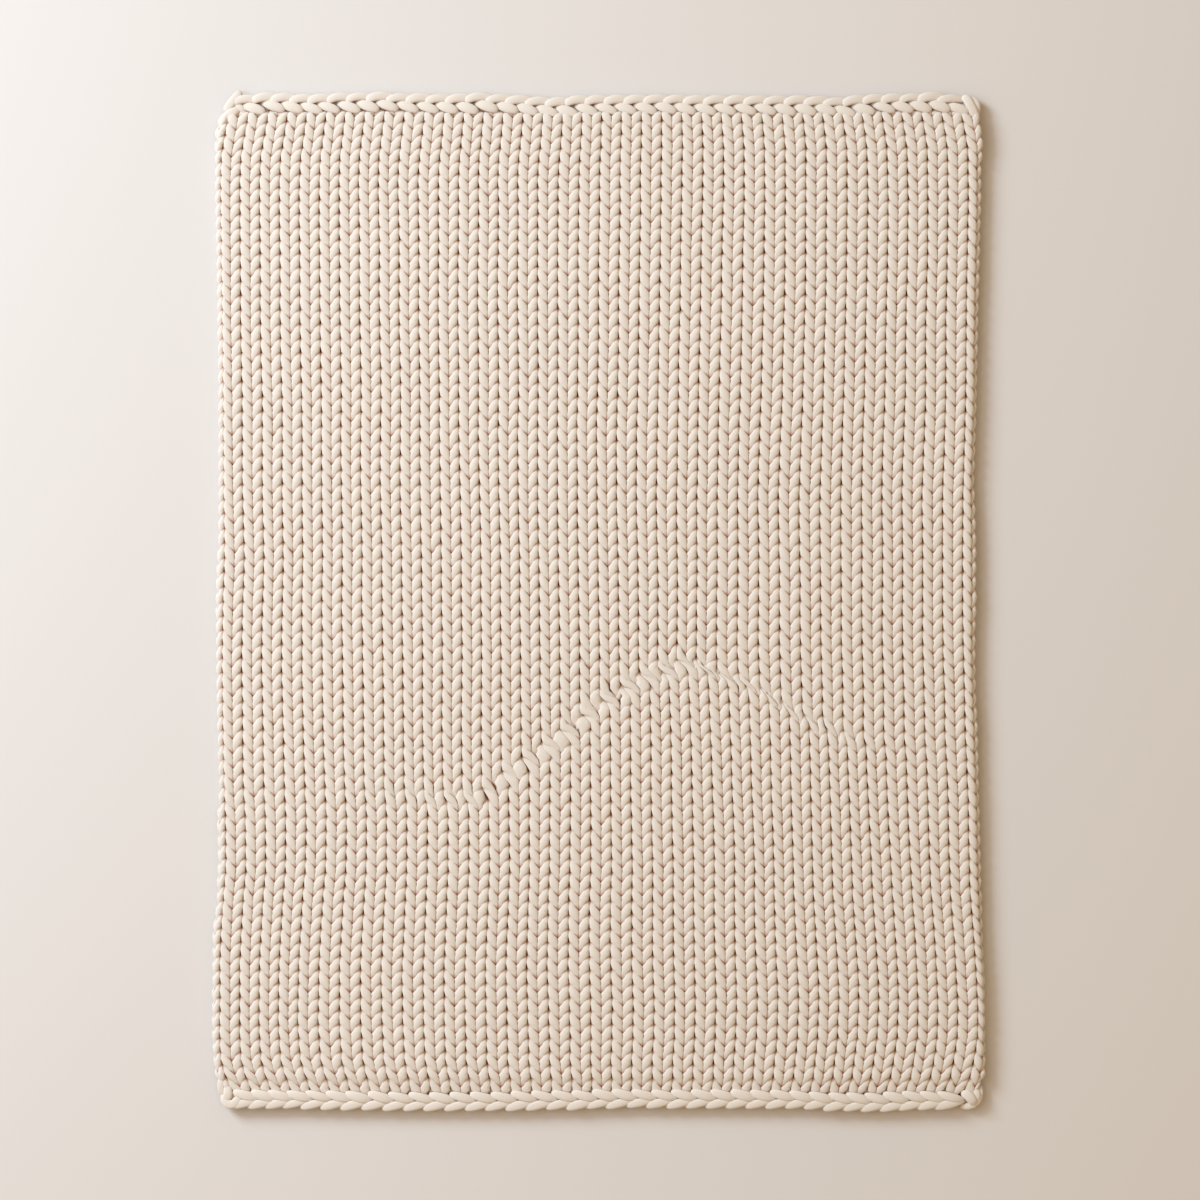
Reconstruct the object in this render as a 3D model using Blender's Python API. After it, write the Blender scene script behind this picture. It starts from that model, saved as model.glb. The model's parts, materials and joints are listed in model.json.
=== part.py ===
"""Chunky knit blanket, lying flat: one piece of stocking-stitch cloth of very thick yarn.

Metres, +Z up. The origin is on the surface that the blanket lies on, under the middle of its
box. +Y runs along the wales (the columns of stitches) towards the cast-off edge. The right side
of the knitting faces up and the underside is flat.
The top is raised in one rib for each leg of a wale, with a groove between the two legs and
another between wales. The single stitches, over 2,600 of them, are surface detail and are not
raised here. Along both ends lies a chain of links, one for each wale, and both sides curl down.
"""

import bpy
import bmesh
from math import cos, pi

# ---------------------------------------------------------------- driving dimensions
BLANKET_LENGTH = 2.036        # over the widest waves of both chain edges
CLOTH_THICKNESS = 0.032       # two crossing yarns of about 20 mm, pressed together
WALES = 38                    # columns of stitches seen from above
STEPS_PER_WALE = 4            # groove, rib, groove, rib

LEG_GROOVE = 0.009            # depth of the groove between the two legs of one wale
WALE_GROOVE = 0.011           # depth of the groove between two wales
ROLL_HEIGHT = 0.011           # height of the outermost line of the rolled rim
ROLL_INSET = 0.008            # how far the resting face stays inside the rim
SIDE_RIB_IN = 0.007           # the turned-down outermost rib, in from the side
SIDE_GROOVE_IN = 0.017        # the first groove, in from the side
SIDE_RIB_DROP = 0.005         # how much lower the turned-down rib lies

LINK_RELIEF = 0.008           # how much lower a chain edge is where two links meet
TOP_CHAIN_TURN = 1            # the links of the cast-off edge point left
BOTTOM_CHAIN_TURN = -1        # the links of the cast-on edge point right

YARN_COLOUR = (0.720, 0.610, 0.505, 1.0)
YARN_ROUGHNESS = 0.9

# The two sides of the cloth: height up the blanket, and the side lines left and right of the
# middle. The wales fan out below the tight chain edges, so the corners are drawn in.
SIDE_COLUMNS = ("up", "left", "right")
SIDES = (
    (0.000, -0.744, 0.750),
    (0.014, -0.751, 0.761),
    (0.030, -0.757, 0.767),
    (0.052, -0.763, 0.770),
    (0.085, -0.768, 0.772),
    (0.140, -0.772, 0.772),
    (0.240, -0.771, 0.771),
    (0.340, -0.768, 0.769),
    (0.450, -0.765, 0.767),
    (0.570, -0.763, 0.764),
    (0.690, -0.764, 0.760),
    (0.820, -0.765, 0.757),
    (0.950, -0.764, 0.755),
    (1.080, -0.762, 0.755),
    (1.200, -0.759, 0.751),
    (1.320, -0.759, 0.752),
    (1.450, -0.759, 0.756),
    (1.580, -0.761, 0.758),
    (1.700, -0.763, 0.760),
    (1.820, -0.766, 0.764),
    (1.900, -0.767, 0.769),
    (1.950, -0.766, 0.769),
    (1.984, -0.758, 0.766),
    (2.006, -0.749, 0.765),
    (2.022, -0.742, 0.760),
    (2.036, -0.734, 0.748),
)

# How far the two ends are drawn in along the blanket's width.
END_COLUMNS = ("across", "top_in", "bottom_in")
ENDS = (
    (0.00, 0.002, 0.003),
    (0.07, 0.007, 0.007),
    (0.14, 0.006, 0.004),
    (0.22, 0.000, 0.001),
    (0.36, 0.004, 0.004),
    (0.54, 0.008, 0.008),
    (0.64, 0.003, 0.009),
    (0.77, 0.009, 0.005),
    (0.87, 0.007, 0.000),
    (0.95, 0.010, 0.003),
    (1.00, 0.009, 0.003),
)

# A chain edge, line by line from its rim inwards: the distance in from the rim, the height, how
# far that line is shaped into links (0 is plain, 1 a row of lumps), and how far its links trail
# behind those on the chain's middle line, in wales.
CHAIN_COLUMNS = ("inward", "height", "lumps", "trail")
CHAIN = (
    (0.000, 0.011, 0.0, 0.50),
    (0.004, 0.022, 0.3, 0.50),
    (0.012, 0.030, 1.0, 0.25),
    (0.021, 0.021, 0.0, 0.00),
    (0.031, 0.033, 1.0, 0.25),
    (0.042, 0.020, 0.0, 0.50),
)

# Lines of points across the field between the two chain edges, as heights up the blanket.
FIELD_LINES = (0.056, 0.090, 0.140, 0.220, 0.320, 0.430, 0.550, 0.680, 0.820, 0.960,
               1.100, 1.230, 1.360, 1.490, 1.620, 1.740, 1.840, 1.910, 1.950, 1.980)


# ---------------------------------------------------------------- helpers
def clear_scene():
    for item in list(bpy.data.objects):
        bpy.data.objects.remove(item, do_unlink=True)


def read_table(rows, columns, wanted, key):
    """Value of the column `wanted` at `key` of the first column, straight between the rows."""
    column = columns.index(wanted)
    if key <= rows[0][0]:
        return rows[0][column]
    for below, above in zip(rows, rows[1:]):
        if key <= above[0]:
            share = (key - below[0]) / (above[0] - below[0])
            return below[column] + share * (above[column] - below[column])
    return rows[-1][column]


# ---------------------------------------------------------------- the lie of the cloth
def across_position(step, up):
    """Distance from the middle of step number `step` on the line `up` the blanket."""
    left = read_table(SIDES, SIDE_COLUMNS, "left", up)
    right = read_table(SIDES, SIDE_COLUMNS, "right", up)
    last = WALES * STEPS_PER_WALE
    rim = {0: 0.0, 1: SIDE_RIB_IN, 2: SIDE_GROOVE_IN}
    if step in rim:
        return left + rim[step]
    if last - step in rim:
        return right - rim[last - step]
    share = (step - 2) / (last - 4)
    return left + SIDE_GROOVE_IN + share * (right - left - 2 * SIDE_GROOVE_IN)


def along_position(step, up):
    """Distance from the middle along +Y: both ends wave in and out a little."""
    across = step / (WALES * STEPS_PER_WALE)
    bottom_in = read_table(ENDS, END_COLUMNS, "bottom_in", across)
    top_in = read_table(ENDS, END_COLUMNS, "top_in", across)
    share = up / BLANKET_LENGTH
    return up - BLANKET_LENGTH / 2 + (1 - share) * bottom_in - share * top_in


def field_height(step):
    """Height of the ribs and grooves of the stocking stitch."""
    last = WALES * STEPS_PER_WALE
    from_side = min(step, last - step)
    if from_side == 0:
        return ROLL_HEIGHT
    if from_side == 1:
        return CLOTH_THICKNESS - SIDE_RIB_DROP
    if step % STEPS_PER_WALE == 0:
        return CLOTH_THICKNESS - LEG_GROOVE
    if step % STEPS_PER_WALE == STEPS_PER_WALE // 2:
        return CLOTH_THICKNESS - WALE_GROOVE
    return CLOTH_THICKNESS


def chain_height(step, line, turn):
    """Height of one line of a chain edge, lumped into one link for each wale."""
    from_side = min(step, WALES * STEPS_PER_WALE - step)
    if from_side == 0:
        return ROLL_HEIGHT
    values = dict(zip(CHAIN_COLUMNS, line))
    wales_along = step / STEPS_PER_WALE - turn * values["trail"]
    hollow = 0.5 + 0.5 * cos(2 * pi * wales_along)
    return values["height"] - values["lumps"] * hollow * LINK_RELIEF


def height_lines():
    """All lines of points from the bottom rim to the top one: how far up, and the heights."""
    steps = range(WALES * STEPS_PER_WALE + 1)
    lines = []
    for line in CHAIN:
        heights = [chain_height(step, line, BOTTOM_CHAIN_TURN) for step in steps]
        lines.append((line[0], heights))
    for up in FIELD_LINES:
        lines.append((up, [field_height(step) for step in steps]))
    for line in reversed(CHAIN):
        heights = [chain_height(step, line, TOP_CHAIN_TURN) for step in steps]
        lines.append((BLANKET_LENGTH - line[0], heights))
    return lines


# ---------------------------------------------------------------- the solid
def upper_face(bm):
    """Grid of points over the cloth, rim included, as rows of vertices."""
    rows = []
    for up, heights in height_lines():
        row = []
        for step, height in enumerate(heights):
            place = (across_position(step, up), along_position(step, up), height)
            row.append(bm.verts.new(place))
        rows.append(row)
    for lower, upper in zip(rows, rows[1:]):
        for i in range(len(lower) - 1):
            bm.faces.new((lower[i], lower[i + 1], upper[i + 1], upper[i]))
    return rows


def rim_loop(rows):
    """The outer vertices of the grid, once round, counter-clockwise from above."""
    right = [row[-1] for row in rows[1:-1]]
    left = [row[0] for row in rows[1:-1]]
    return rows[0] + right + rows[-1][::-1] + left[::-1]


def resting_face(bm, rim):
    """Flat underside, a little inside the rim, joined to it by the rolled-under edge."""
    half_width = max(abs(v.co.x) for v in rim)
    half_length = max(abs(v.co.y) for v in rim)
    foot = []
    for v in rim:
        x = v.co.x * (1 - ROLL_INSET / half_width)
        y = v.co.y * (1 - ROLL_INSET / half_length)
        foot.append(bm.verts.new((x, y, 0.0)))
    count = len(rim)
    for i in range(count):
        j = (i + 1) % count
        bm.faces.new((rim[j], rim[i], foot[i], foot[j]))
    bm.faces.new(foot[::-1])


def yarn_material():
    material = bpy.data.materials.new("cream_yarn")
    material.use_nodes = True
    shader = material.node_tree.nodes["Principled BSDF"]
    shader.inputs["Base Color"].default_value = YARN_COLOUR
    shader.inputs["Roughness"].default_value = YARN_ROUGHNESS
    shader.inputs["Metallic"].default_value = 0.0
    return material


def knit_blanket():
    bm = bmesh.new()
    rows = upper_face(bm)
    resting_face(bm, rim_loop(rows))
    bmesh.ops.recalc_face_normals(bm, faces=bm.faces)
    mesh = bpy.data.meshes.new("knit_blanket")
    bm.to_mesh(mesh)
    bm.free()
    mesh.materials.append(yarn_material())
    blanket = bpy.data.objects.new("knit_blanket", mesh)
    bpy.context.scene.collection.objects.link(blanket)
    return blanket


def main():
    clear_scene()
    knit_blanket()


main()
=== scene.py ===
"""Chunky knit blanket, laid flat and seen from straight above.

The cloth is plain knitting: 39 columns of V stitches and 71 rows, each row one
tube of yarn that follows the path of a knitted stitch. Stitches are first made
in fabric space, where every stitch has the same size, and lay_out() then puts
that space on the blanket's own outline, with its rolled sides. A chain of
stitches closes the top and the bottom, and loose turns of yarn the corners.
"""

import json
from math import cos, pi, sin

import bpy
import numpy as np
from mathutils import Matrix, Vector

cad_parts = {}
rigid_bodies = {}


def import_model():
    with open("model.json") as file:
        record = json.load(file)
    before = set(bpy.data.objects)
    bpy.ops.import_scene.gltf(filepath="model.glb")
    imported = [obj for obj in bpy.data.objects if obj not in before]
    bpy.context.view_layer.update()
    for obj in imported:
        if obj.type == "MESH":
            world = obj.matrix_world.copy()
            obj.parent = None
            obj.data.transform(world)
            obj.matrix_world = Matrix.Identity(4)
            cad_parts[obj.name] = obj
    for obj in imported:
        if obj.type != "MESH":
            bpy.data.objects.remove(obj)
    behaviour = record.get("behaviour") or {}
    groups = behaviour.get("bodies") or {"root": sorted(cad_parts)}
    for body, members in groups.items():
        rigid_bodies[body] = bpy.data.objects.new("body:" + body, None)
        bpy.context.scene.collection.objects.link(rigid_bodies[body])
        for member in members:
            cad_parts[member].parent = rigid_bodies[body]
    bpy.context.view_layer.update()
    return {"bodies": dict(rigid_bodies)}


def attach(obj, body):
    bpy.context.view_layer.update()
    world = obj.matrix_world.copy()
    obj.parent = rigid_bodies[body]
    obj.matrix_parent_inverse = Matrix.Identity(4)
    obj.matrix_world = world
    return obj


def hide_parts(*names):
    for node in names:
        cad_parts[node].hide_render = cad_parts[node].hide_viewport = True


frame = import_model()

# ------------------------------------------------- real sizes, mostly in metres
BODY = sorted(frame["bodies"])[0]
NODE = "knit_blanket"
HALF_LENGTH = 1.018        # from the bottom edge, where up is 0, to the frame's middle

WALES = 39                 # columns of V stitches, 0 to 38
COURSES = 71               # rows of stitches, 0 is the lowest
WALE = 0.040               # one column of V stitches
COURSE = 0.0286            # one row
MID_HEIGHT = 0.0172        # middle of the cloth's thickness
THICKNESS = 0.0325
EDGE_RADIUS = THICKNESS / 2  # of the curl along each side
BANDS = 6                  # pieces that the rows are made in

# the stitch
RINGS = 18                 # rings of the tube in one stitch
RING_CROWDING = 0.17       # how much closer together they are on the legs that show
SIDES = 9                  # points round the tube
SIDE_CROWDING = 0.30       # how much closer together they are on the side that shows
SWAY = 0.31                # how far a leg leans, in columns
RISE = 1.50                # half a loop's height, in rows
SLANT = 0.32               # how much flatter the legs lie than the whole loop, in rows
WEAVE_DEPTH = 0.0096       # front to middle
FLATNESS = 0.7             # under 1, the legs stay up for more of their length
CLOSING = 0.018            # how much nearer its own V's middle a leg lies, in columns
HEAD_LIFT = 0.0036         # how much a leg's upper end is lifted and its lower end sunk
FRONT_WIDTH = 0.0101       # half width of a leg, across
FRONT_HEIGHT = 0.0080      # half thickness of a leg
BACK_RADIUS = 0.0066       # the yarn's radius between two legs, at the back
V_FOOT = 0.76              # a stitch's middle above the foot of its V, in rows
LOWEST = 0.35              # loops are pressed flat below this row,
LOWEST_SQUEEZE = 0.2       # to this share of their height there
LINK_RINGS = 5             # rings of the turn of the yarn at a row's end
LINK_BULGE = 0.30          # how far that turn goes out, in columns
ROUNDNESS = 2.4            # of the yarn across: 2 is an ellipse, more is squarer
FULLNESS = 0.35            # under 1, the legs keep their width towards their ends

# how the legs differ, as a share of their thickness, across and up
LEG_FATNESS = 0.035
LEG_WANDER_ACROSS = 0.0006
LEG_WANDER_UP = 0.0007
NOISE_LIMIT = 2            # no leg differs by more than this many times that

# how neighbouring legs press on each other; 1 is half the width of a leg's own strip
PRESSED_HEIGHTS = (-0.002, 0.004)  # it starts and is full at these heights over the cloth's middle
PRESSED_FRONT = (0.0, 0.35)        # and this far round to the front
FREE_REACH = 0.88          # up to here a leg keeps its shape,
FULL_REACH = 1.00          # and this is the most that it may reach
GROOVE = 0.0032            # depth of the groove between two columns
INNER_GROOVE = 0.0005      # and between the two legs of a V
GROOVE_REACH = (0.55, 1.15)        # a groove starts here, and would be full there

# the depth attribute, which sets the painted shade: 0 deep between the stitches, where the shade is
# full, 1 on the cloth's faces, where there is none
FACE_HEIGHT = 0.016        # from the cloth's middle to where depth is 1
FLANK_SHADE = 0.5           # how much painted shade a leg's flanks take on
FLANK_TOP = 0.75           # where the flanks start; 1 is the top of the yarn
STRAND_SHIFT = 3.7         # how far on in the fibres each band starts, for each row below it
STRAND_SPREAD = 9          # leaves start anywhere in this length of the fibres
SOFTNESS = 1.3             # how much the fluff evens out the light on the yarn's slopes

# slow waves of the whole cloth: rows up and down in metres, columns across in columns
ROW_WAVES = {"seed": 3, "amount": 0.0007, "shortest": 4, "longest": 16}
COLUMN_WAVES = {"seed": 4, "amount": 0.012, "shortest": 3, "longest": 10}
WAVES = 5                  # waves in each

# The last rows go down under the chains: the rows where that starts and is full, how much.
TOP_TUCK_ROWS, TOP_TUCK = (70.1, 70.8), 0.64
BOTTOM_TUCK_ROWS, BOTTOM_TUCK = (2.0, 0.2), 0.40

# the curls along the sides
CURL_FREE = 0.008          # yarn up to this deep under the face keeps its depth,
CURL_ROOM = 0.0055         # and deeper yarn is squeezed into this much more,
CURL_SOFTNESS = 0.009      # over about this much of its depth
CURL_START = (-0.009, 0.006)       # the squeeze starts and is full here, from where the curl starts

# ------------------------------------------- lines on the blanket, in metres
# (up the blanket, across) for the middle of the first and the last full column
FIRST_COLUMN = [
    (0.000, -0.7000), (0.050, -0.7166), (0.074, -0.7258), (0.102, -0.7334), (0.160, -0.7362),
    (0.290, -0.7370), (0.350, -0.7344), (0.430, -0.7296), (0.480, -0.7248), (0.586, -0.7248),
    (0.640, -0.7278), (0.750, -0.7302), (0.880, -0.7330), (1.000, -0.7310), (1.100, -0.7282),
    (1.220, -0.7298), (1.420, -0.7310), (1.620, -0.7350), (1.848, -0.7366), (1.904, -0.7342),
    (1.948, -0.7258), (1.988, -0.7182), (2.036, -0.7120)]
LAST_COLUMN = [
    (0.000, 0.6980), (0.044, 0.7124), (0.068, 0.7220), (0.094, 0.7276), (0.122, 0.7330),
    (0.152, 0.7376), (0.210, 0.7390), (0.234, 0.7370), (0.290, 0.7332), (0.350, 0.7292),
    (0.434, 0.7230), (0.520, 0.7196), (0.640, 0.7162), (0.750, 0.7128), (0.840, 0.7112),
    (0.920, 0.7086), (1.064, 0.7082), (1.220, 0.7070), (1.420, 0.7130), (1.620, 0.7150),
    (1.820, 0.7190), (1.920, 0.7170), (1.966, 0.7090), (1.988, 0.7050), (2.036, 0.7000)]
# (up, across) for the left and the right edge
LEFT_EDGE = [
    (0.004, -0.7410), (0.014, -0.7510), (0.028, -0.7550), (0.052, -0.7618), (0.082, -0.7670),
    (0.112, -0.7702), (0.144, -0.7722), (0.220, -0.7720), (0.360, -0.7710), (0.410, -0.7638),
    (0.500, -0.7598), (0.590, -0.7618), (0.640, -0.7578), (0.700, -0.7600), (0.820, -0.7636),
    (0.900, -0.7646), (1.020, -0.7650), (1.080, -0.7630), (1.140, -0.7600), (1.260, -0.7590),
    (1.420, -0.7590), (1.620, -0.7610), (1.820, -0.7660), (1.920, -0.7670), (1.952, -0.7656),
    (1.980, -0.7580), (2.006, -0.7490), (2.036, -0.7330)]
RIGHT_EDGE = [
    (0.002, 0.7444), (0.016, 0.7620), (0.028, 0.7660), (0.052, 0.7700), (0.076, 0.7722),
    (0.180, 0.7730), (0.260, 0.7716), (0.360, 0.7666), (0.420, 0.7656), (0.520, 0.7624),
    (0.660, 0.7590), (0.770, 0.7570), (0.840, 0.7526), (0.940, 0.7520), (1.020, 0.7546),
    (1.140, 0.7540), (1.260, 0.7500), (1.420, 0.7550), (1.620, 0.7590), (1.820, 0.7640),
    (1.884, 0.7644), (1.908, 0.7670), (1.940, 0.7700), (1.984, 0.7650), (2.008, 0.7650),
    (2.024, 0.7390)]
# (row, up the blanket) of the foot of the V stitches
ROW_FEET = [
    (-1.0, 0.004), (0, 0.022), (1, 0.048), (4, 0.129), (9, 0.265), (14, 0.403), (19, 0.543),
    (24, 0.685), (29, 0.828), (34, 0.972), (39, 1.117), (44, 1.263), (49, 1.408), (54, 1.554),
    (59, 1.696), (64, 1.829), (69, 1.960), (70, 1.986), (70.5, 1.998), (71, 2.006), (72, 2.016)]

# How far the columns lean from evenly spaced ones, in columns, above and below
# the line where the stitches have slipped. First the height, then the lean of
# these columns:
LEAN_COLUMNS = [1, 5, 9, 13, 17, 21, 25, 29, 33, 37]
LEAN_ABOVE = [
    (0.620, 0, 0.00, -0.02, -0.16, -0.24, -0.25, -0.30, -0.16, -0.05, 0),
    (0.900, 0, 0.03, 0.02, -0.01, -0.12, -0.20, -0.32, -0.14, -0.04, 0),
    (1.100, 0, -0.05, -0.09, -0.13, -0.22, -0.28, -0.32, -0.17, -0.06, 0),
    (1.360, 0, -0.08, -0.12, -0.22, -0.32, -0.34, -0.31, -0.17, -0.03, 0),
    (1.620, 0, -0.05, -0.14, -0.22, -0.27, -0.26, -0.17, -0.02, 0.04, 0),
    (1.860, 0, -0.06, -0.15, -0.22, -0.27, -0.22, -0.13, -0.02, 0.02, 0),
    (1.980, 0, -0.12, -0.16, -0.15, -0.17, -0.15, -0.13, -0.02, -0.01, 0)]
LEAN_BELOW = [
    (0.060, 0, -0.07, 0.01, 0.10, 0.17, 0.21, 0.25, 0.20, 0.09, 0),
    (0.180, 0, -0.18, -0.09, -0.01, 0.05, 0.14, 0.20, 0.19, 0.08, 0),
    (0.260, 0, -0.14, -0.09, 0.00, 0.06, 0.18, 0.25, 0.27, 0.15, 0),
    (0.420, 0, -0.05, 0.02, 0.10, 0.10, 0.23, 0.30, 0.26, 0.13, 0),
    (0.580, 0, -0.02, 0.05, 0.11, 0.17, 0.27, 0.30, 0.23, 0.05, 0),
    (0.720, 0, 0.00, 0.02, 0.14, 0.26, 0.32, 0.32, 0.23, 0.04, 0),
    (0.850, 0, 0.02, 0.02, 0.15, 0.30, 0.31, 0.26, 0.20, 0.02, 0)]
# (column, up) of that line
SLIP_LINE = [
    (1, 0.630), (9.3, 0.634), (11, 0.620), (13.3, 0.626), (14.8, 0.670), (17.3, 0.740),
    (19.3, 0.815), (21.3, 0.860), (23.8, 0.895), (25, 0.876), (27.3, 0.840), (28.8, 0.796),
    (31.3, 0.750), (33, 0.730), (37, 0.720)]
SLIP_HEIGHT = 0.028        # the cloth changes over from one lean to the other in this much of it
PULL_REACH = 0.035         # stitches this near the slipped line are pulled out of place,
PULL_SHOVE = 0.0016        # by about this much,
PULL_PALE = 0.35           # and lose this share of their painted shade
SLIP_FROM, SLIP_TO = 9, 33           # columns with loose legs on the line, SLIP_TO left out
PULL_STARTS = (SLIP_FROM - 1.5, SLIP_FROM + 0.5)  # columns where the pull comes on
PULL_ENDS = (SLIP_TO + 1, SLIP_TO - 2)            # and where it goes, from none to full
LOOSE_SIDE = 0.25          # a loose leg's middle beside its column's middle, in columns
LOOSE_WANDER = 0.003       # how far it strays up or down
# A loose leg's middle line: across in columns, up in rows, height, half width, half thickness.
LOOSE_LEG = [
    (-0.16, -0.60, 0.0110, 0.00325, 0.0050), (-0.08, -0.32, 0.0175, 0.00520, 0.0080),
    (0.00, 0.00, 0.0200, 0.00559, 0.0090), (0.09, 0.32, 0.0175, 0.00507, 0.0080),
    (0.17, 0.60, 0.0110, 0.00325, 0.0050)]
# The bits of yarn in the gaps above the bottom chain: across in columns from the middle of a
# gap, up in rows, height, half width, half thickness.
BIT = [
    (-0.15, 0.25, 0.0110, 0.0030, 0.0030), (-0.07, 0.42, 0.0160, 0.0042, 0.0042),
    (0.00, 0.60, 0.0180, 0.0046, 0.0046), (0.06, 0.78, 0.0160, 0.0040, 0.0040),
    (0.10, 0.95, 0.0110, 0.0030, 0.0030)]
FIRST_BIT = 1.5            # the middle of the first of those gaps, in columns

# ------------------------------------------------------------ the two chains
# (link, across) of a link's tip
TOP_TIPS = [
    (0, -0.7095), (1, -0.6700), (4, -0.5600), (7, -0.4424), (10, -0.3234), (16, -0.0845),
    (22, 0.1510), (28, 0.3922), (32, 0.5485), (36, 0.6968)]
BOTTOM_TIPS = [
    (-1, -0.7100), (0, -0.6770), (2, -0.6070), (4, -0.5308), (6, -0.4508), (7, -0.4070),
    (10, -0.2836), (13, -0.1610), (17, 0.0005), (22, 0.1990), (27, 0.3970), (30, 0.5136),
    (31, 0.5480), (34, 0.6610), (36, 0.7306)]
LINKS = 37
# (across, up) of the line between a chain's two rows of leaves
TOP_LINE = [
    (-0.7095, 2.0100), (-0.6700, 2.0145), (-0.5970, 2.0112), (-0.5600, 2.0125),
    (-0.4424, 2.0160), (-0.3634, 2.0122), (-0.2856, 2.0112), (-0.2436, 2.0144),
    (-0.2044, 2.0112), (-0.1650, 2.0090), (-0.1260, 2.0056), (-0.0845, 2.0050),
    (-0.0450, 2.0088), (0.0340, 2.0100), (0.1120, 2.0112), (0.1910, 2.0088), (0.3110, 2.0088),
    (0.4305, 2.0072), (0.4718, 2.0050), (0.5105, 2.0080), (0.5485, 2.0120), (0.6605, 2.0150),
    (0.6968, 2.0100), (0.7350, 2.0100)]
BOTTOM_LINE = [
    (-0.7000, 0.0235), (-0.6070, 0.0225), (-0.4895, 0.0210), (-0.4070, 0.0190),
    (-0.2840, 0.0180), (-0.1610, 0.0195), (0.0000, 0.0225), (0.0810, 0.0240), (0.1990, 0.0235),
    (0.3970, 0.0228), (0.4350, 0.0212), (0.4740, 0.0190), (0.5480, 0.0165), (0.5850, 0.0165),
    (0.6250, 0.0192), (0.6610, 0.0205), (0.7350, 0.0200)]
# A leaf's middle line: across and up from the tip, height, half width, half thickness.
TOP_INNER = [
    (-0.004, 0.0010, 0.0090, 0.0046, 0.0055), (0.005, -0.0025, 0.0165, 0.0074, 0.0080),
    (0.015, -0.0055, 0.0210, 0.0100, 0.0100), (0.026, -0.0092, 0.0225, 0.0104, 0.0102),
    (0.035, -0.0130, 0.0215, 0.0092, 0.0095), (0.043, -0.0172, 0.0180, 0.0064, 0.0070)]
TOP_OUTER = [
    (-0.021, 0.0015, 0.0165, 0.0062, 0.0070), (-0.014, 0.0068, 0.0210, 0.0082, 0.0088),
    (-0.003, 0.0108, 0.0215, 0.0090, 0.0095), (0.011, 0.0118, 0.0180, 0.0092, 0.0095),
    (0.026, 0.0105, 0.0120, 0.0086, 0.0090), (0.037, 0.0085, 0.0080, 0.0060, 0.0060)]
BOTTOM_INNER = [
    (-0.0540, 0.0130, 0.0160, 0.0050, 0.0060), (-0.0445, 0.0115, 0.0210, 0.0084, 0.0090),
    (-0.0320, 0.0078, 0.0225, 0.0102, 0.0102), (-0.0190, 0.0042, 0.0212, 0.0100, 0.0100),
    (-0.0080, 0.0016, 0.0165, 0.0068, 0.0080), (0.0010, 0.0002, 0.0110, 0.0034, 0.0050)]
BOTTOM_OUTER = [
    (-0.0260, -0.0146, 0.0160, 0.0060, 0.0066), (-0.0165, -0.0132, 0.0195, 0.0084, 0.0085),
    (-0.0020, -0.0098, 0.0210, 0.0094, 0.0094), (0.0120, -0.0066, 0.0195, 0.0090, 0.0094),
    (0.0260, -0.0034, 0.0165, 0.0072, 0.0080), (0.0370, -0.0004, 0.0120, 0.0042, 0.0055)]
CHAIN_BACK = [
    (-0.010, 0.000, 0.0070, 0.0060, 0.0060), (0.004, 0.001, 0.0078, 0.0076, 0.0074),
    (0.020, 0.000, 0.0080, 0.0080, 0.0076), (0.036, -0.001, 0.0078, 0.0076, 0.0074),
    (0.050, 0.000, 0.0070, 0.0060, 0.0060)]
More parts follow.
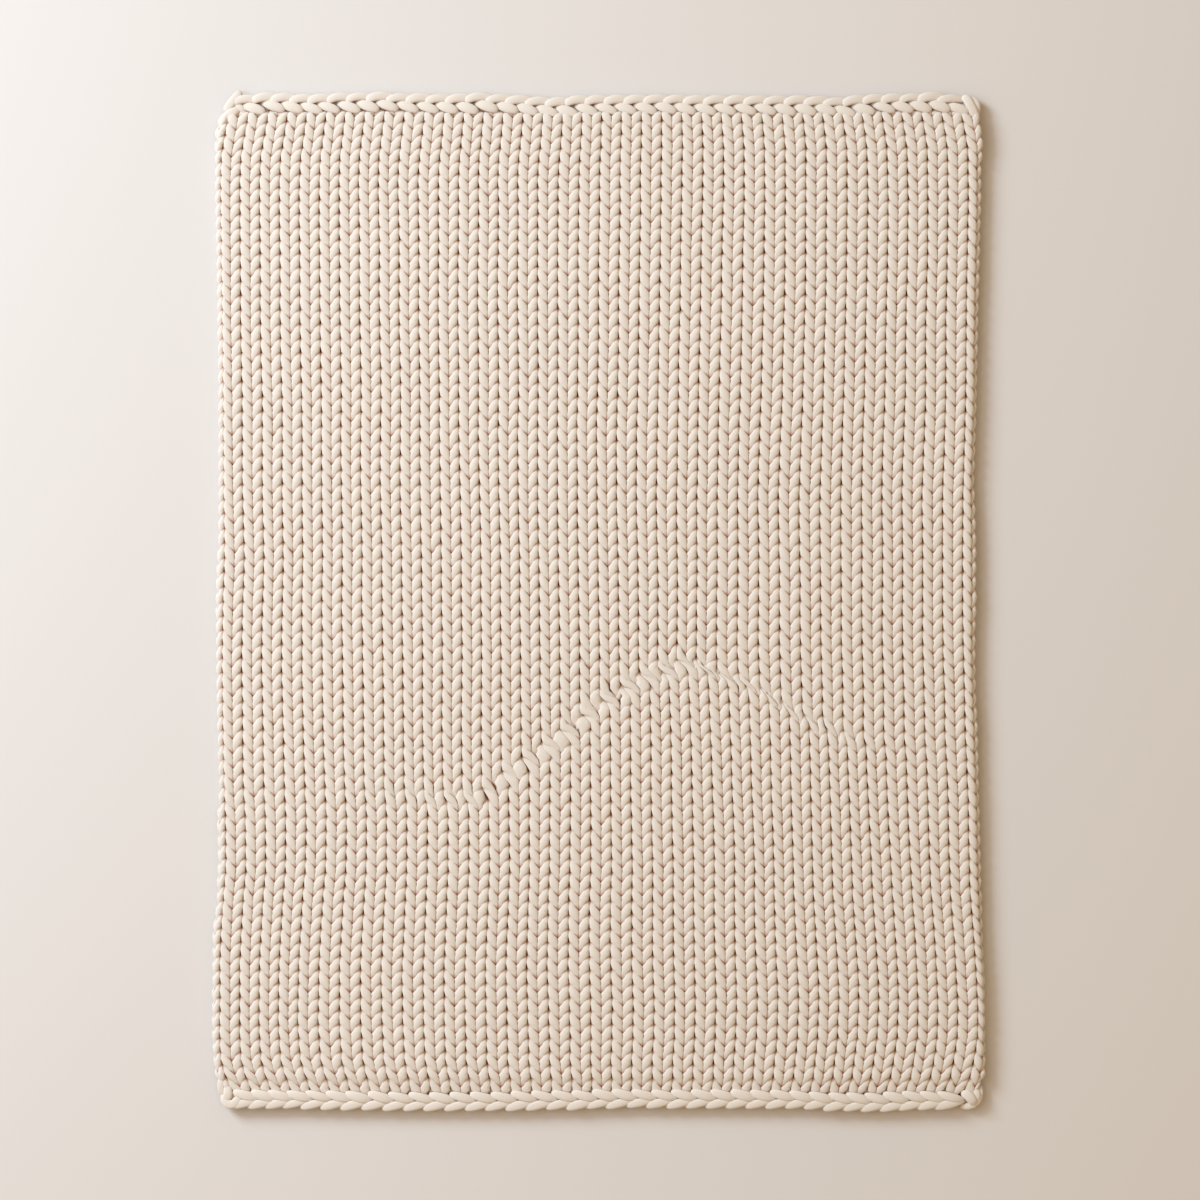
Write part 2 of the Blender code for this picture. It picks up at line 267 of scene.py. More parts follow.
# Turns of yarn at the corners: across, up, height, half width, half thickness.
CORNERS = {
    "top left leaf": [
        (-0.7170, 2.0365, 0.0100, 0.0060, 0.0060), (-0.7215, 2.0290, 0.0190, 0.0084, 0.0082),
        (-0.7295, 2.0185, 0.0205, 0.0090, 0.0092), (-0.7395, 2.0060, 0.0195, 0.0088, 0.0088),
        (-0.7460, 1.9980, 0.0110, 0.0060, 0.0060)],
    "top left stub": [
        (-0.7300, 2.0150, 0.0110, 0.0060, 0.0060), (-0.7225, 2.0090, 0.0180, 0.0076, 0.0078),
        (-0.7140, 2.0020, 0.0180, 0.0078, 0.0078), (-0.7080, 1.9960, 0.0110, 0.0060, 0.0060),
        (-0.7040, 1.9920, 0.0080, 0.0050, 0.0050)],
    "top left shoulder": [
        (-0.7180, 2.0020, 0.0110, 0.0060, 0.0060), (-0.7270, 1.9970, 0.0205, 0.0092, 0.0092),
        (-0.7400, 1.9870, 0.0220, 0.0106, 0.0098), (-0.7510, 1.9770, 0.0190, 0.0096, 0.0092),
        (-0.7570, 1.9700, 0.0100, 0.0060, 0.0060)],
    "top right leaf": [
        (0.7290, 2.0250, 0.0110, 0.0070, 0.0070), (0.7370, 2.0200, 0.0205, 0.0090, 0.0090),
        (0.7440, 2.0060, 0.0220, 0.0100, 0.0098), (0.7520, 1.9900, 0.0200, 0.0094, 0.0092),
        (0.7570, 1.9780, 0.0110, 0.0060, 0.0060)],
    "top right tip": [
        (0.7440, 2.0220, 0.0100, 0.0060, 0.0060), (0.7520, 2.0170, 0.0175, 0.0074, 0.0074),
        (0.7560, 2.0080, 0.0180, 0.0076, 0.0076), (0.7570, 1.9980, 0.0160, 0.0070, 0.0070),
        (0.7570, 1.9900, 0.0090, 0.0050, 0.0050)],
    "top right stub": [
        (0.7120, 1.9960, 0.0110, 0.0060, 0.0060), (0.7190, 1.9930, 0.0190, 0.0078, 0.0080),
        (0.7310, 1.9880, 0.0205, 0.0086, 0.0088), (0.7420, 1.9800, 0.0180, 0.0076, 0.0080),
        (0.7470, 1.9730, 0.0110, 0.0060, 0.0060)],
    "bottom left hook": [
        (-0.7500, 0.0330, 0.0100, 0.0060, 0.0060), (-0.7480, 0.0210, 0.0170, 0.0080, 0.0080),
        (-0.7420, 0.0130, 0.0195, 0.0092, 0.0090), (-0.7320, 0.0118, 0.0205, 0.0096, 0.0095),
        (-0.7235, 0.0180, 0.0215, 0.0094, 0.0094), (-0.7165, 0.0270, 0.0170, 0.0076, 0.0076)],
    "bottom left filler": [
        (-0.7350, 0.0380, 0.0100, 0.0050, 0.0050), (-0.7320, 0.0325, 0.0130, 0.0070, 0.0064),
        (-0.7290, 0.0265, 0.0140, 0.0080, 0.0070), (-0.7255, 0.0205, 0.0130, 0.0070, 0.0064),
        (-0.7230, 0.0150, 0.0100, 0.0050, 0.0050)],
    "bottom left drop": [
        (-0.7440, 0.0540, 0.0110, 0.0040, 0.0045), (-0.7420, 0.0450, 0.0180, 0.0072, 0.0075),
        (-0.7400, 0.0350, 0.0215, 0.0096, 0.0095), (-0.7420, 0.0260, 0.0190, 0.0090, 0.0085),
        (-0.7450, 0.0190, 0.0100, 0.0060, 0.0060)],
    "bottom left edge": [
        (-0.7500, 0.0700, 0.0090, 0.0060, 0.0060), (-0.7540, 0.0580, 0.0160, 0.0074, 0.0074),
        (-0.7550, 0.0470, 0.0165, 0.0076, 0.0076), (-0.7530, 0.0360, 0.0140, 0.0070, 0.0070),
        (-0.7480, 0.0280, 0.0090, 0.0050, 0.0050)],
    "bottom right knob": [
        (0.7280, 0.0330, 0.0110, 0.0070, 0.0070), (0.7350, 0.0320, 0.0200, 0.0094, 0.0090),
        (0.7430, 0.0260, 0.0220, 0.0104, 0.0100), (0.7480, 0.0180, 0.0190, 0.0094, 0.0090),
        (0.7480, 0.0110, 0.0100, 0.0060, 0.0060)],
    "bottom right strand": [
        (0.7620, 0.0500, 0.0090, 0.0060, 0.0060), (0.7630, 0.0360, 0.0130, 0.0070, 0.0070),
        (0.7600, 0.0230, 0.0150, 0.0074, 0.0074), (0.7520, 0.0120, 0.0150, 0.0074, 0.0074),
        (0.7380, 0.0070, 0.0140, 0.0070, 0.0070), (0.7240, 0.0080, 0.0090, 0.0060, 0.0060)],
    "bottom right fold": [
        (0.7540, 0.0450, 0.0090, 0.0050, 0.0050), (0.7560, 0.0360, 0.0180, 0.0068, 0.0070),
        (0.7570, 0.0270, 0.0185, 0.0070, 0.0072), (0.7550, 0.0190, 0.0150, 0.0064, 0.0064),
        (0.7520, 0.0130, 0.0090, 0.0050, 0.0050)],
}
CHAIN_WOBBLE = 0.04        # how much the leaves of a chain differ in size
TIP_WANDER = 0.0006        # how far their tips stray along the chain
THICKNESS_WOBBLE = 0.4     # share of a leaf's change in size that its thickness takes
END_ROUND = 0.9            # length of a leaf's round end, in half widths
END_SHARPEST = 0.004       # how far along that length the very end is
# rings along a leaf, points round it, and the share of the painted shade that it leaves out
LEAF_RINGS, LEAF_SIDES = 13, 10
BACK_RINGS, BACK_SIDES, BACK_TONE = 9, 8, 0.8
CORNER_RINGS, CORNER_SIDES, CORNER_TONE = 17, 12, 0.5
# a leaf turns from the painted shadow colour to the light one
LEAF_HEIGHTS = (0.006, 0.020)        # between these heights above the floor
LEAF_FLANK = (-0.25, 0.72)           # and these places up round it, where 1 is its top,
LEAF_OPEN = (-0.2, 0.6)              # or these across, where 1 is its open side

# the thin sheet of painted shade in the cloth's middle: its first and last column and row, and how
# many lines of points
HOLE_SHADE_COLUMNS = (0.8, 37.2, 38)
HOLE_SHADE_ROWS = (0.1, 70.9, 37)
HOLE_SHADE_HALF = 0.001        # half its thickness
HOLE_SHADE_STRAND = 0.02       # one unit of its fibres

# ------------------------------------------------------------------ the look
# the yarn's own colour and its painted shadow colour, then the two colours of the sheet of painted
# shade in the holes
YARN_LIGHT, YARN_SHADOW = (0.725, 0.646, 0.556), (0.36, 0.13, 0.04)
HOLE_SHADE_LIGHT, HOLE_SHADE_DARK = (0.50, 0.28, 0.18), (0.10, 0.05, 0.03)
# the depths at which the painted shade starts to give way, and is gone
ROW_SHADE, CHAIN_SHADE, HOLE_SHADE_RANGE = (0.34, 0.84), (0.0, 0.9), (0.0, 0.5)
YARN_RELIEF, HOLE_SHADE_RELIEF = 0.16, 0.2   # strength of the fibres' relief
RELIEF_DEPTH = 0.002
YARN_ROUGHNESS = 0.9
YARN_SPECULAR = 0.25
SHEEN, SHEEN_ROUGHNESS = 0.15, 0.5
DARKER = 0.93              # the darker patches and fibres, beside the light colour
FIBRE_STRETCH = (1, 1, 14)           # round the yarn twice, and along it
FIBRE_SCALE, FIBRE_DETAIL = 3.2, 3.0
PATCH_SCALE, PATCH_DETAIL = 9.0, 2.0
FIBRE_SHARE, PATCH_SHARE = 0.5, 0.5

# the floor, and the light of the room and of its lamps
FLOOR_SIZE = 14
FLOOR_COLOUR = (0.660, 0.616, 0.571)
FLOOR_ROUGHNESS = 0.9
ROOM_COLOUR = (1.0, 0.773, 0.515)
ROOM_STRENGTH = 0.591
# a lamp's name, place, target, size, power in watts and colour
LIGHTS = [
    ("window", (-6.4, 4.6, 5.0), (-3.0, 0.0, 0.0), 3.8, 827.0, (0.652, 0.826, 1.0)),
    ("ceiling", (-3.6, 1.2, 4.0), (-1.5, 0.0, 0.0), 5.0, 141.0, (0.757, 0.826, 1.0))]

CAMERA_PLACE = (0.003, 0.002, 8.0)   # over the middle of the photograph's frame
VIEW_WIDTH = 2.4           # what the photograph's frame takes in, at the blanket
SENSOR_WIDTH = 36.0        # millimetres
VIEW_END = 100.0           # nothing further off shows

RANDOM = np.random.default_rng(20)


# -------------------------------------------------------------- small helpers
def ease(low, high, value):
    """0 below low, 1 above high and a smooth step between."""
    t = np.clip((value - low) / (high - low), 0, 1)
    return t * t * (3 - 2 * t)


def read_line(table, at):
    """The value of a two-column table at each place."""
    rows = np.array(table, float)
    return np.interp(at, rows[:, 0], rows[:, 1])


def unit(vectors):
    """The same directions, with length 1."""
    return vectors / np.linalg.norm(vectors, axis=-1, keepdims=True)


def ripple(a, b, seed, amount, shortest, longest):
    """A smooth random field over two coordinates, about as large as amount."""
    rng = np.random.default_rng(seed)
    total = np.zeros_like(a)
    for _ in range(WAVES):
        turn, start = rng.uniform(0, 2 * pi, 2)
        length = rng.uniform(shortest, longest)
        total += np.sin(2 * pi * (a * cos(turn) + b * sin(turn)) / length + start)
    return amount * total * (2 / WAVES) ** 0.5


# ------------------------------------------------ from fabric space to cloth
def read_lean(table, column, up):
    """How far the columns lean there, in columns, from one lean table."""
    rows = np.array(table, float)
    leans = np.stack([np.interp(column, LEAN_COLUMNS, row) for row in rows[:, 1:]])
    place = np.interp(up, rows[:, 0], np.arange(len(rows)))
    low = np.minimum(place.astype(int), len(rows) - 2)
    part = place - low
    pick = np.arange(len(column))
    return leans[low, pick] * (1 - part) + leans[low + 1, pick] * part


def side_of_slip(column, up):
    """1 above the slipped line and -1 below it."""
    half = SLIP_HEIGHT / 2
    return 2 * ease(-half, half, up - read_line(SLIP_LINE, column)) - 1


def pulled_by_slip(column, up):
    """1 on the slipped line, 0 beyond its ends and further off than PULL_REACH."""
    off = np.abs(up - read_line(SLIP_LINE, column))
    near = ease(PULL_REACH, PULL_REACH / 4, off)
    return near * ease(*PULL_STARTS, column) * ease(*PULL_ENDS, column)


def curl(side, across, height, line, edge):
    """Curls the cloth under along one side, -1 for the left or 1 for the right.

    line is where its last full column runs, and edge is the outline beside it.
    """
    out = side * (across - line)
    flat = side * (edge - line) - EDGE_RADIUS
    depth = THICKNESS - height
    inner = CURL_FREE + CURL_ROOM * np.tanh((depth - CURL_FREE) / CURL_SOFTNESS)
    squeezed = np.where(depth > CURL_FREE, inner, depth)
    depth += (squeezed - depth) * ease(*CURL_START, out - flat)
    angle = np.clip((out - flat) / EDGE_RADIUS, 0, pi)
    past = np.maximum(out - flat - pi * EDGE_RADIUS, 0)
    rolled = flat + (EDGE_RADIUS - depth) * np.sin(angle) - past
    height = np.where(out > flat, EDGE_RADIUS + (EDGE_RADIUS - depth) * np.cos(angle),
                      THICKNESS - depth)
    return np.where(out > flat, line + side * rolled, across), height


def lay_out(points, slipped):
    """Moves points (n, 3) from fabric space, in metres, to their place on the blanket.

    slipped is 1 where a point goes with the stitches above the slipped line
    and -1 where it goes with those below.
    """
    column, row, height = points[:, 0] / WALE, points[:, 1] / COURSE, points[:, 2]
    up = read_line(ROW_FEET, row) + ripple(column, row, **ROW_WAVES)
    high, low = read_lean(LEAN_ABOVE, column, up), read_lean(LEAN_BELOW, column, up)
    lean = (high + low) / 2 + slipped * (high - low) / 2
    lean += ripple(column, row, **COLUMN_WAVES)
    first, last = read_line(FIRST_COLUMN, up), read_line(LAST_COLUMN, up)
    step = (last - first) / (WALES - 3)
    across = first + (column + lean - 1) * step

    # near the chains the stitches go down under them
    height = (height * (1 - TOP_TUCK * ease(*TOP_TUCK_ROWS, row))
              * (1 - BOTTOM_TUCK * ease(*BOTTOM_TUCK_ROWS, row)))

    across, height = curl(-1, across, height, first, read_line(LEFT_EDGE, up))
    across, height = curl(1, across, height, last, read_line(RIGHT_EDGE, up))
    return np.stack([across, up - HALF_LENGTH, height], axis=1)


# ------------------------------------------------------------- tubes of yarn
def mesh_object(name, points, quads, caps, strand, depth):
    """A smooth mesh of these faces, with the attributes strand and depth.

    strand holds the yarn's own coordinates, and depth sets the painted shade:
    0 deep between the stitches, where the shade is full, and 1 on the cloth's faces.
    """
    mesh = bpy.data.meshes.new(name)
    loops = np.concatenate([quads.ravel(), *[np.asarray(c) for c in caps]]).astype(np.int32)
    sizes = np.array([4] * len(quads) + [len(c) for c in caps], np.int32)
    starts = np.concatenate([[0], np.cumsum(sizes)[:-1]]).astype(np.int32)
    mesh.vertices.add(len(points))
    mesh.vertices.foreach_set("co", points.astype(np.float32).ravel())
    mesh.loops.add(len(loops))
    mesh.loops.foreach_set("vertex_index", loops)
    mesh.polygons.add(len(sizes))
    mesh.polygons.foreach_set("loop_start", starts)
    mesh.polygons.foreach_set("loop_total", sizes)
    mesh.update(calc_edges=True)
    mesh.shade_smooth()

    # fluff evens out the light, as if the yarn's slopes were less steep
    normals = np.empty(len(points) * 3, np.float32)
    mesh.vertex_normals.foreach_get("vector", normals)
    normals = normals.reshape(-1, 3)
    normals[:, 2] *= 1 + SOFTNESS * np.clip(normals[:, 2], 0, 1)
    mesh.normals_split_custom_set_from_vertices(unit(normals))

    mesh.attributes.new("strand", "FLOAT_VECTOR", "POINT").data.foreach_set(
        "vector", strand.astype(np.float32).ravel())
    mesh.attributes.new("depth", "FLOAT", "POINT").data.foreach_set(
        "value", depth.astype(np.float32).ravel())
    piece = bpy.data.objects.new(name, mesh)
    bpy.context.scene.collection.objects.link(piece)
    return piece


def tube_quads(rings, sides):
    """The faces of a tube, as point numbers, outside facing out."""
    ring, side = np.meshgrid(np.arange(rings - 1), np.arange(sides), indexing="ij")
    after = (side + 1) % sides
    return np.stack([ring * sides + side, ring * sides + after,
                     (ring + 1) * sides + after, (ring + 1) * sides + side],
                    axis=-1).reshape(-1, 4)


def wrap(path, wide, tall, sides):
    """Rings of points round a path (n, 3), and their place round the tube.

    That place is given as across (ca, 1 is the left of the yarn's way) and up
    (sa, 1 is the top).
    """
    along = unit(np.gradient(path, axis=-2))
    beside = unit(np.cross(np.array([0.0, 0.0, 1.0]), along))
    over = np.cross(along, beside)
    turn = 2 * pi * np.arange(sides) / sides + pi / 2
    turn = turn + SIDE_CROWDING * np.cos(turn)
    ca, sa = np.cos(turn), np.sin(turn)
    ca = np.sign(ca) * np.abs(ca) ** (2 / ROUNDNESS)
    sa = np.sign(sa) * np.abs(sa) ** (2 / ROUNDNESS)
    rings = (path[..., None, :] + (wide[..., None] * ca)[..., None] * beside[..., None, :]
             + (tall[..., None] * sa)[..., None] * over[..., None, :])
    return rings, ca, sa


def strand_places(path, ca, sa, shift):
    """The yarn's own coordinates: round the tube twice, and along it."""
    steps = np.linalg.norm(np.diff(path, axis=-2), axis=-1)
    along = np.concatenate([np.zeros(steps.shape[:-1] + (1,)), np.cumsum(steps, axis=-1)], axis=-1)
    along = along + shift
    shape = along.shape + (len(ca),)
    return np.stack([np.broadcast_to(ca, shape), np.broadcast_to(sa, shape),
                     np.broadcast_to(along[..., None], shape)], axis=-1)


# ------------------------------------------------------------------ the rows
def row_path(row):
    """One row's rings from left to right: the turn, how far in front, the place in fabric space.

    A stitch is one full turn. Its loop's top, at 0, and foot, at pi, are at the
    back. A leg comes to the front between them, both on the way down and up.
    """
    even = np.linspace(-pi, (2 * WALES - 1) * pi, WALES * RINGS + 1)
    turn = even + RING_CROWDING * np.sin(2 * even)
    front = -np.cos(2 * turn)
    front = np.sign(front) * np.abs(front) ** FLATNESS
    column = turn / (2 * pi) + SWAY * np.sin(2 * turn) - CLOSING * np.sin(turn)
    climb = row + V_FOOT + RISE * np.cos(turn) + SLANT * np.cos(2 * pi * column)
    climb = np.where(climb < LOWEST, LOWEST + LOWEST_SQUEEZE * (climb - LOWEST), climb)
    height = MID_HEIGHT + WEAVE_DEPTH * front + HEAD_LIFT * np.cos(turn) * (0.5 + 0.5 * front)
    return turn, front, np.stack([column * WALE, climb * COURSE, height], axis=1)


def link_path(end_point, next_point, side):
    """The turn of the yarn from one row's end to the next row's."""
    swing = pi * (np.arange(LINK_RINGS) + 1) / (LINK_RINGS + 1)
    up = (1 - np.cos(swing)) / 2
    path = end_point + (next_point - end_point) * up[:, None]
    path[:, 0] += side * LINK_BULGE * WALE * np.sin(swing)
    return path


def yarn_path(first_row, last_row):
    """The way of the yarn through rows first_row to last_row - 1, joined at alternate sides.

    It is given ring by ring: the turn, how far in front, the place and the row.
    """
    turns, fronts, paths, rows = [], [], [], []
    for row in range(first_row, last_row):
        turn, front, path = row_path(row)
        side = 1                                     # worked from left to right
        if row % 2:                                  # or from right to left
            turn, front, path = turn[::-1], front[::-1], path[::-1]
            side = -1
        turns.append(turn)
        fronts.append(front)
        paths.append(path)
        rows.append(np.full(len(turn), row))
        if row + 1 < COURSES:
            link = link_path(path[-1], path[-1] + np.array([0.0, COURSE, 0.0]), side)
            turns.append(np.full(len(link), turn[-1]))
            fronts.append(np.full(len(link), -1.0))
            paths.append(link)
            rows.append(np.full(len(link), row))
    return [np.concatenate(parts) for parts in (turns, fronts, paths, rows)]


def press_legs(rings, turn, front):
    """Presses each leg on its neighbours: flat flanks, and a groove between the columns."""
    middle = ((np.floor(turn / pi) + 0.5) * WALE / 2)[:, None]
    reach = (rings[..., 0] - middle) / (WALE / 4)
    size = np.abs(reach)
    soft = FULL_REACH - FREE_REACH
    flank = FREE_REACH + soft * np.tanh((size - FREE_REACH) / soft)
    held = np.where(size < FREE_REACH, size, flank)
    weight = (ease(*PRESSED_HEIGHTS, rings[..., 2] - MID_HEIGHT)
              * ease(*PRESSED_FRONT, front)[:, None])
    rings[..., 0] += weight * (middle + np.sign(reach) * held * WALE / 4 - rings[..., 0])
    outward = np.sign(reach) * np.where(np.floor(turn / pi) % 2, -1, 1)[:, None]
    carve = np.where(outward > 0, GROOVE, INNER_GROOVE)
    rings[..., 2] -= weight * carve * ease(*GROOVE_REACH, size)


def knit_rows(name, first_row, last_row):
    """Rows first_row to last_row - 1 as one length of yarn."""
    turn, front, path, row = yarn_path(first_row, last_row)

    # every leg is a little fatter or thinner, and bends a little its own way
    leg = np.floor(turn / pi).astype(int) + 2        # 1 for the first leg
    show = np.clip(front, 0, 1)
    fat = 1 + LEG_FATNESS * LEG_NOISE[0][row, leg] * show
    path[:, 0] += LEG_WANDER_ACROSS * LEG_NOISE[1][row, leg] * show
    path[:, 1] += LEG_WANDER_UP * LEG_NOISE[2][row, leg] * show
    part = (0.5 + 0.5 * front) ** FULLNESS
    wide = (BACK_RADIUS + (FRONT_WIDTH - BACK_RADIUS) * part) * fat
    tall = (BACK_RADIUS + (FRONT_HEIGHT - BACK_RADIUS) * part) * fat
    rings, ca, sa = wrap(path, wide, tall, SIDES)
    press_legs(rings, turn, front)

    # the stitches that the slip has pulled at lie this way and that
    pulled = pulled_by_slip(path[:, 0] / WALE, read_line(ROW_FEET, path[:, 1] / COURSE))
    shove = PULL_SHOVE * LEG_NOISE[1:, row, leg].T * (pulled * show)[:, None]
    rings[..., :2] += shove[:, None]

    # painted shade: the yarn takes the shadow colour the nearer it lies to the cloth's middle and
    # on the legs' flanks, and pulled stitches lose some of it
    depth = (np.abs(rings[..., 2] - MID_HEIGHT) / FACE_HEIGHT
             * (1 - FLANK_SHADE * ease(FLANK_TOP, 0.0, sa)))
    depth += PULL_PALE * pulled[:, None] * np.maximum(1 - depth, 0)
    strand = strand_places(path, ca, sa, STRAND_SHIFT * first_row)

    column = rings[..., 0].ravel() / WALE
    up = read_line(ROW_FEET, rings[..., 1].ravel() / COURSE)
    points = lay_out(rings.reshape(-1, 3), side_of_slip(column, up))
    quads = tube_quads(len(path), SIDES)
    end = (len(path) - 1) * SIDES
    caps = [np.arange(SIDES)[::-1], end + np.arange(SIDES)]
    return mesh_object(name, points, quads, caps, strand.reshape(-1, 3), depth.ravel())


# -------------------------------------------------- leaves of yarn
def smooth_path(knots, rings):
    """Rings along a smooth curve through rows of numbers (m, k, n), as (m, rings, n)."""
    knots = np.asarray(knots, float)
    count = knots.shape[1]
    slope = np.gradient(knots, axis=1)
    place = (count - 1) * (1 - np.cos(np.linspace(0, pi, rings))) / 2
    low = np.minimum(place.astype(int), count - 2)
    t = (place - low)[None, :, None]
    a, b = knots[:, low], knots[:, low + 1]
    da, db = slope[:, low], slope[:, low + 1]
    return ((2 * t**3 - 3 * t**2 + 1) * a + (t**3 - 2 * t**2 + t) * da
            + (3 * t**2 - 2 * t**3) * b + (t**3 - t**2) * db)


def leaves(name, knots, rings=LEAF_RINGS, sides=LEAF_SIDES, tone=0.0, open_side=0):
    """Short tubes of yarn through knots (m, k, 5): a place, half width and half thickness.

    Their low parts and sides take on the painted shadow colour, less of it with
    more tone, and none on the open side, which is 1 for the left of a leaf's way,
    -1 for its right, or 0.
    """
    curve = smooth_path(knots, rings)
    path, wide, tall = curve[..., :3], curve[..., 3], curve[..., 4]
    steps = np.linalg.norm(np.diff(path, axis=1), axis=2)
    along = np.concatenate([np.zeros((len(path), 1)), np.cumsum(steps, axis=1)], axis=1)
    to_end = np.minimum(along, along[:, -1:] - along) / (END_ROUND * wide)
    round_end = np.sqrt(1 - (1 - np.clip(to_end, END_SHARPEST, 1)) ** 2)
    wide, tall = wide * round_end, tall * round_end
    points, ca, sa = wrap(path, wide, tall, sides)
    shift = RANDOM.uniform(0, STRAND_SPREAD, (len(path), 1))
    strand = strand_places(path, ca, sa, shift)
    # painted shade: a leaf takes the shadow colour low down and on its flanks
    light = ease(*LEAF_HEIGHTS, points[..., 2]) * ease(*LEAF_FLANK, sa)
    open_side = np.reshape(open_side, (-1, 1, 1))
    bare = ease(*LEAF_OPEN, open_side * ca) * (open_side != 0)
    depth = tone + (1 - tone) * np.maximum(light, bare)
    size = rings * sides
    offsets = np.arange(len(path)) * size
    quads = (tube_quads(rings, sides)[None] + offsets[:, None, None]).reshape(-1, 4)
    caps = []
    for first in offsets:
        caps += [first + np.arange(sides)[::-1], first + size - sides + np.arange(sides)]
    return mesh_object(name, points.reshape(-1, 3), quads, caps, strand.reshape(-1, 3),
                       depth.ravel())


def chain_knots(leaf, tips, line, numbers):
    """One row of a chain's leaves, for the links with these numbers."""
    leaf, count = np.array(leaf), len(numbers)
    place = read_line(tips, numbers)
    size = 1 + CHAIN_WOBBLE * RANDOM.normal(size=(count, 1))
    knots = np.zeros((count, len(leaf), 5))
    knots[..., 0] = place[:, None] + leaf[:, 0] + TIP_WANDER * RANDOM.normal(size=(count, 1))
    knots[..., 1] = (read_line(line, place)[:, None] - HALF_LENGTH
                     + leaf[:, 1] * (1 + CHAIN_WOBBLE * RANDOM.normal(size=(count, 1))))
    knots[..., 2] = leaf[:, 2]
    knots[..., 3] = leaf[:, 3] * size
    knots[..., 4] = leaf[:, 4] * (1 + (size - 1) * THICKNESS_WOBBLE)
    return knots


# --------------------------------------------------------------- materials
def add_node(tree, kind, **inputs):
    """A new node with these inputs, written with _ for a space."""
    node = tree.nodes.new(kind)
    for key, value in inputs.items():
        node.inputs[key.replace("_", " ")].default_value = value
    return node


def yarn_material(name, light, shadow, shade, bump):
    """Soft spun yarn: fine fibres along the strand, with painted shade deep between the stitches.
    """
    material = bpy.data.materials.new(name)
    material.use_nodes = True
    tree = material.node_tree
    link = tree.links.new
    shader = tree.nodes["Principled BSDF"]
    shader.inputs["Roughness"].default_value = YARN_ROUGHNESS
    shader.inputs["Specular IOR Level"].default_value = YARN_SPECULAR
    shader.inputs["Sheen Weight"].default_value = SHEEN
    shader.inputs["Sheen Roughness"].default_value = SHEEN_ROUGHNESS

    # fine fibres along the strand, and larger patches across the cloth
    strand = tree.nodes.new("ShaderNodeAttribute")
    strand.attribute_name = "strand"
    stretch = add_node(tree, "ShaderNodeMapping", Scale=FIBRE_STRETCH)
    link(strand.outputs["Vector"], stretch.inputs["Vector"])
    fibres = add_node(tree, "ShaderNodeTexNoise", Scale=FIBRE_SCALE, Detail=FIBRE_DETAIL)
    link(stretch.outputs[0], fibres.inputs["Vector"])
    place = tree.nodes.new("ShaderNodeTexCoord")
    patches = add_node(tree, "ShaderNodeTexNoise", Scale=PATCH_SCALE, Detail=PATCH_DETAIL)
    link(place.outputs["Object"], patches.inputs["Vector"])

    # painted shade: 0 in the shadow colour, 1 in the light one
    depth = tree.nodes.new("ShaderNodeAttribute")
    depth.attribute_name = "depth"
    spread = add_node(tree, "ShaderNodeMapRange", From_Min=shade[0], From_Max=shade[1])
    spread.interpolation_type = "SMOOTHSTEP"
    link(depth.outputs["Fac"], spread.inputs["Value"])

    # the light colour, a little darker where the fibres and patches say so
    tone = tree.nodes.new("ShaderNodeMix")
    tone.data_type = "RGBA"
    tone.inputs[6].default_value = (*(DARKER * part for part in light), 1)
    tone.inputs[7].default_value = (*light, 1)
    blend = tree.nodes.new("ShaderNodeMath")
    blend.operation = "MULTIPLY_ADD"
    blend.inputs[1].default_value = FIBRE_SHARE
    link(fibres.outputs["Fac"], blend.inputs[0])
    second = tree.nodes.new("ShaderNodeMath")
    second.operation = "MULTIPLY"
    second.inputs[1].default_value = PATCH_SHARE
    link(patches.outputs["Fac"], second.inputs[0])
    link(second.outputs[0], blend.inputs[2])
    link(blend.outputs[0], tone.inputs[0])

    colour = tree.nodes.new("ShaderNodeMix")
    colour.data_type = "RGBA"
    link(spread.outputs[0], colour.inputs[0])
    colour.inputs[6].default_value = (*shadow, 1)
    link(tone.outputs[2], colour.inputs[7])
    link(colour.outputs[2], shader.inputs["Base Color"])

    relief = add_node(tree, "ShaderNodeBump", Strength=bump, Distance=RELIEF_DEPTH)
    link(fibres.outputs["Fac"], relief.inputs["Height"])
    link(relief.outputs[0], shader.inputs["Normal"])
    return material


def dress(piece, material):
    """Gives a piece its material and says what it belongs to."""
    piece.data.materials.append(material)
    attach(piece, BODY)
    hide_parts(NODE)
    return piece


# ------------------------------------------------------------------- build
# the yarn with its painted shade between the stitches, and the sheet of painted shade in the holes
yarn = yarn_material("spun_yarn", YARN_LIGHT, YARN_SHADOW, ROW_SHADE, YARN_RELIEF)
chain_yarn = yarn_material("chain_yarn", YARN_LIGHT, YARN_SHADOW, CHAIN_SHADE, YARN_RELIEF)
hole_shade_paint = yarn_material("hole_shade_material", HOLE_SHADE_LIGHT, HOLE_SHADE_DARK, HOLE_SHADE_RANGE, HOLE_SHADE_RELIEF)

# fatness, across and up for each leg of each row, with some legs to spare at both ends
LEG_NOISE = np.clip(RANDOM.normal(size=(3, COURSES, 2 * WALES + 4)), -NOISE_LIMIT, NOISE_LIMIT)

edges = np.linspace(0, COURSES, BANDS + 1).round().astype(int)
for number in range(BANDS):
    rows_piece = knit_rows(f"knit_rows_{number + 1}", edges[number], edges[number + 1])
    dress(rows_piece, yarn)

